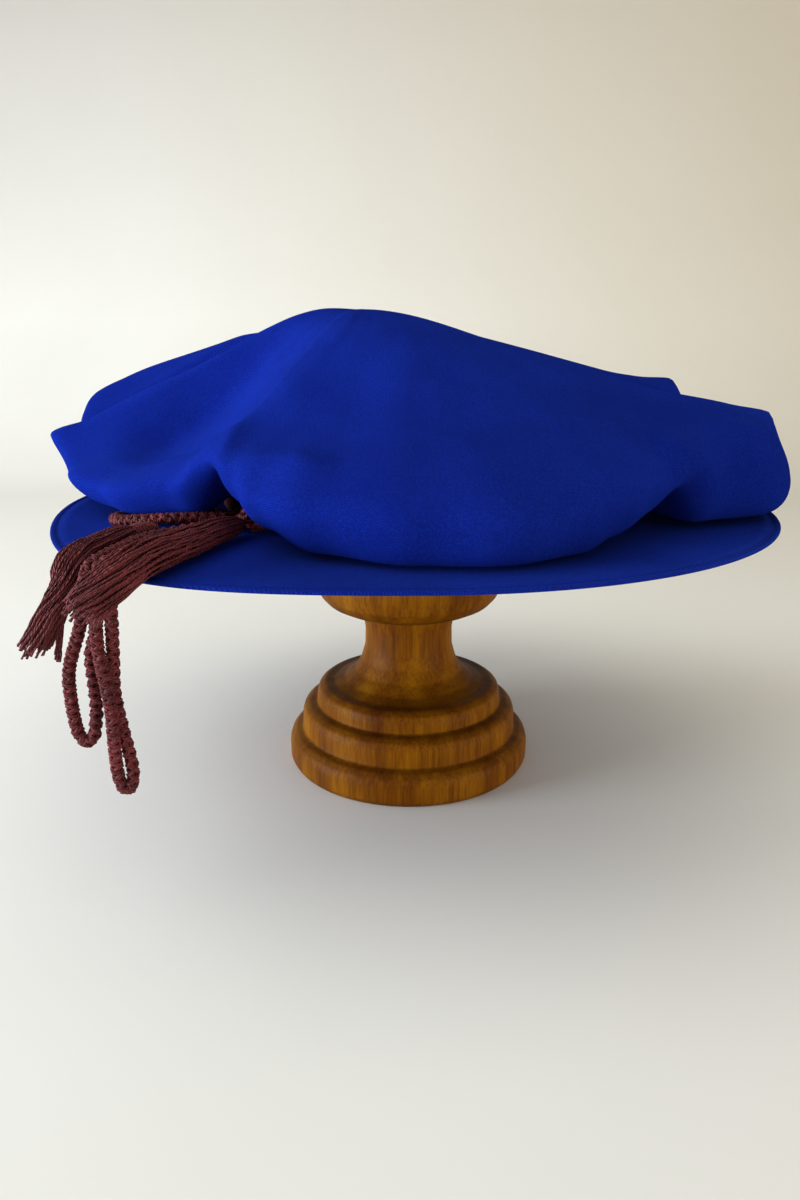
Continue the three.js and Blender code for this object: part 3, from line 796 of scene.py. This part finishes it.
def crown_surface():
    """Outer points of the cloth, ring by ring from the top down: (rings, columns, 3)."""
    p = crown_controls()
    before = 2 * p[:, :1] - p[:, 1:2]
    before[..., 2] = p[:, 1:2, 2]  # level at the middle, so that the top has no point
    p = np.concatenate([before, p, 2 * p[:, -1:] - p[:, -2:-1]], 1)
    rings = []
    for i, count in enumerate(STRETCH_ROWS):
        a, b, c, d = (p[:, i + k] for k in range(4))
        rings.extend(stretch(a, b, c, d, q / count) for q in range(1, count + 1))
    return np.stack(rings)


def surface_normals(g):
    down = np.gradient(g, axis=0)
    beside = np.roll(g, -1, 1) - np.roll(g, 1, 1)
    n = np.cross(down, beside)
    return n / np.maximum(np.linalg.norm(n, axis=2, keepdims=True), 1e-9)


def soften(g, passes):
    """Rounds the crisp folds a little: moves each point towards its neighbours round the ring."""
    for _ in range(passes):
        g = g * 0.5 + (np.roll(g, 1, 1) + np.roll(g, -1, 1)) * 0.25
    return g


def pull(g, centre, way, reach):
    """Moves the points within reach of a centre along a way."""
    away = np.linalg.norm(g - np.array(centre, float), axis=2)
    return g + np.array(way, float) * (np.clip(1 - away / reach, 0, 1) ** 2)[..., None]


def beside_line(spots, drawn):
    """Distance to a drawn line, how far below it on the picture, and the share along it."""
    distance = np.full(spots.shape[:2], 1e9)
    below, share = np.zeros_like(distance), np.zeros_like(distance)
    done = np.concatenate([[0], np.cumsum(np.linalg.norm(np.diff(drawn, axis=0), axis=1))])
    for start, end, before, after in zip(drawn[:-1], drawn[1:], done[:-1], done[1:]):
        off = spots - start
        t = np.clip(off @ unit(end - start), 0, after - before)
        gap = off - t[..., None] * unit(end - start)
        gap_length = np.linalg.norm(gap, axis=-1)
        nearer = gap_length < distance
        distance = np.where(nearer, gap_length, distance)
        below = np.where(nearer, gap[..., 1], below)
        share = np.where(nearer, (before + t) / done[-1], share)
    return distance, below, share


def press(g, toward, drawn, height, above, below, round_top, at_start, at_end):
    """Raises or sinks the cloth that faces the eye along a line drawn over the picture."""
    distance, side, share = beside_line(seen_at(g), np.array(drawn, float))
    blend = np.clip(side / np.maximum(distance, 1e-6), -1, 1) * 0.5 + 0.5
    reach = above + (below - above) * blend
    profile = np.exp(-(np.sqrt(distance ** 2 + round_top ** 2) - round_top) / reach)
    strength = np.interp(share, [0, 0.35, 0.65, 1], [at_start, 1, 1, at_end])
    return g + toward * (height * profile * strength)[..., None]


def toward_eye(g):
    """Directions up and to the eye, none where the cloth turns away from it."""
    view = unit(EYE - g)
    faces = np.clip(((surface_normals(soften(g, 24)) * view).sum(2) + 0.15) / 0.35, 0, 1)
    return unit(view + (0, 0, 0.8)) * faces[..., None]


def crown_outside():
    """The cloth's outer face with its drawn folds and pulled corners."""
    g = soften(crown_surface(), 3)
    toward = toward_eye(g)
    for fold in DRAWN_FOLDS.values():
        g = press(g, toward, **fold)
    g = soften(g, 1)
    for corner in PULLS.values():
        g = pull(g, **corner)
    return g


def cloth_plane(outer):
    """The cloth's own plane: arc length from the middle, turned by the column."""
    columns = outer.shape[1]
    from_middle = np.concatenate([np.broadcast_to(APEX, (1, columns, 3)), outer])
    arc = np.cumsum(np.linalg.norm(np.diff(from_middle, axis=0), axis=2), axis=0)
    turn = np.arange(columns) * TAU / columns
    return np.stack([arc * np.cos(turn), arc * np.sin(turn)], -1) * MM


def build_crown():
    """A hollow bag: the outer face, and the inner face one wall inside it."""
    outer = crown_outside()
    inner = outer - surface_normals(outer) * CROWN_WALL
    inner[-1, :, 2] = outer[-1, :, 2]
    sheets = np.concatenate([outer, inner[::-1]])
    rows, columns = sheets.shape[:2]
    verts = np.vstack([sheets.reshape(-1, 3), APEX, APEX - (0, 0, CROWN_WALL)])
    faces = grid_faces(rows, columns, turned=True)
    middle, inner_middle = len(verts) - 2, len(verts) - 1
    last_ring = (rows - 1) * columns
    for q in range(columns):
        w = (q + 1) % columns
        faces.append([middle, q, w])
        faces.append([inner_middle, last_ring + w, last_ring + q])
    flat = cloth_plane(outer)
    uv = np.vstack([np.concatenate([flat, flat[::-1]]).reshape(-1, 2), [[0, 0], [0, 0]]])
    return verts, faces, uv


crown = dress(add_mesh("crown_cloth", *build_crown()), CLOTH, "crown_cloth", "crown")

# the stand: radius and height of its outline from the floor up
STAND = [
    (65.8, 0), (67.6, 3), (67.6, 11.4), (66.5, 15), (64, 17.5), (60, 18.6),  # lowest tier
    (60, 27.4), (58.8, 31), (56, 33), (51.6, 33.6),  # middle tier
    (51.6, 38.4), (50.4, 42.2), (47.2, 44.4),  # upper tier
    (42, 44.4), (36, 46.6), (30, 51.6), (26.4, 58),  # cove
    (24.2, 66), (24, 76), (25.4, 84.6),  # neck
    (37.4, 88), (44.4, 91.4), (48.6, 96), (50.4, 103),  # underside of the head
    (50.4, 193), (47, 208.8), (39.4, 219.3), (28, 227.3), (14, 232.7),  # domed head
]
STAND_ROUNDING, STAND_TURNS = 1.2, 160
ROUNDING_LIMIT = 0.4  # the most of a neighbouring edge that the rounding takes


def rounded(outline):
    """An outline without its two ends, with a small round in place of each of its corners."""
    points = np.array(outline, float)
    line = []
    for a, b, c in zip(points[:-2], points[1:-1], points[2:]):
        before, after = a - b, c - b
        cut = min(STAND_ROUNDING, ROUNDING_LIMIT * np.linalg.norm(before),
                  ROUNDING_LIMIT * np.linalg.norm(after))
        start, end = b + unit(before) * cut, b + unit(after) * cut
        for t in (0, 0.33, 0.67, 1):
            line.append(start * (1 - t) ** 2 + 2 * b * t * (1 - t) + end * t ** 2)
    return np.array(line)


def build_stand():
    """The rounded outline turned about the stand's axis, closed on a point at either end."""
    line = rounded([(0, 0), *STAND, (0, HEAD_TOP)])
    a = np.arange(STAND_TURNS) * TAU / STAND_TURNS
    r = line[:, 0:1]
    z = np.broadcast_to(line[:, 1:2], (len(line), STAND_TURNS))
    rings = np.stack([r * np.cos(a), r * np.sin(a), z], -1).reshape(-1, 3)
    verts = np.vstack([rings, [[0, 0, 0], [0, 0, HEAD_TOP]]])
    faces = grid_faces(len(line), STAND_TURNS)
    bottom, top = len(rings), len(rings) + 1
    last_ring = len(rings) - STAND_TURNS
    for q in range(STAND_TURNS):
        w = (q + 1) % STAND_TURNS
        faces.append([bottom, w, q])
        faces.append([top, last_ring + q, last_ring + w])
    return verts, faces


dress(add_mesh("stand_wood", *build_stand()), WOOD, "wood", "stand")


# stage and light
SWEEP_WIDTH, SWEEP_FRONT, SWEEP_BACK = 6000, -2600, 900
SWEEP_BEND, SWEEP_HEIGHT, SWEEP_DROP = 900, 4200, 0.05
LIGHTS = {  # place, aim and size in metres, power in watts
    "window": dict(place=(-1.45, -0.50, 0.11), aim=(0, 0, 0.15), size=(0.7, 0.5),
                   power=44, colour=(0.84, 0.93, 1.0)),
    "key": dict(place=(-0.95, -0.25, 1.15), aim=(0, 0, 0.10), size=(1.0, 1.0),
                power=6, colour=(0.93, 0.98, 1.0)),
    "fill": dict(place=(1.5, -1.1, 0.13), aim=(0, 0, 0.15), size=(1.6, 0.2),
                 power=16, colour=(1.0, 0.90, 0.72)),
    "top": dict(place=(-0.4, -0.5, 2.3), aim=(-0.1, -0.5, 0), size=(2.4, 2.4),
                power=10, colour=(1.0, 1.0, 0.98)),
    "wall": dict(place=(-1.6, 0.5, 0.7), aim=(-0.9, 1.7, 0.55), size=(0.6, 0.6),
                 power=2.5, colour=(1.0, 1.0, 1.0)),
}
ROOM_COLOUR, ROOM_STRENGTH = (1.0, 0.965, 0.85, 1), 0.58


def build_sweep():
    """A pale table that curves up into a backdrop."""
    q = np.linspace(0, math.pi / 2, 25)
    profile = [(SWEEP_FRONT, 0.0), (0, 0.0)]
    profile += [(SWEEP_BACK + SWEEP_BEND * math.sin(v), SWEEP_BEND - SWEEP_BEND * math.cos(v)) for v in q]
    profile += [(SWEEP_BACK + SWEEP_BEND, SWEEP_HEIGHT)]
    sides = (-SWEEP_WIDTH / 2, SWEEP_WIDTH / 2)
    verts = np.array([(x, y, z - SWEEP_DROP) for y, z in profile for x in sides])
    faces = [[2 * i, 2 * i + 1, 2 * i + 3, 2 * i + 2] for i in range(len(profile) - 1)]
    return verts, faces


def area_light(name, place, aim, size, power, colour):
    data = bpy.data.lights.new(name, "AREA")
    data.shape = "RECTANGLE"
    data.size, data.size_y = size
    data.energy = power
    data.color = colour
    light = bpy.data.objects.new(name, data)
    light.location = place
    light.rotation_euler = Vector(np.subtract(aim, place)).to_track_quat("-Z", "Y").to_euler()
    bpy.context.scene.collection.objects.link(light)


def light_room():
    """Even light from all round."""
    world = bpy.data.worlds.new("soft_room")
    world.use_nodes = True
    background = world.node_tree.nodes["Background"].inputs
    background["Color"].default_value = ROOM_COLOUR
    background["Strength"].default_value = ROOM_STRENGTH
    bpy.context.scene.world = world


sweep = add_mesh("sweep", *build_sweep())
sweep.data.materials.append(PAPER)
for name, light in LIGHTS.items():
    area_light(name, **light)
light_room()
bpy.context.scene.view_settings.view_transform = "Standard"
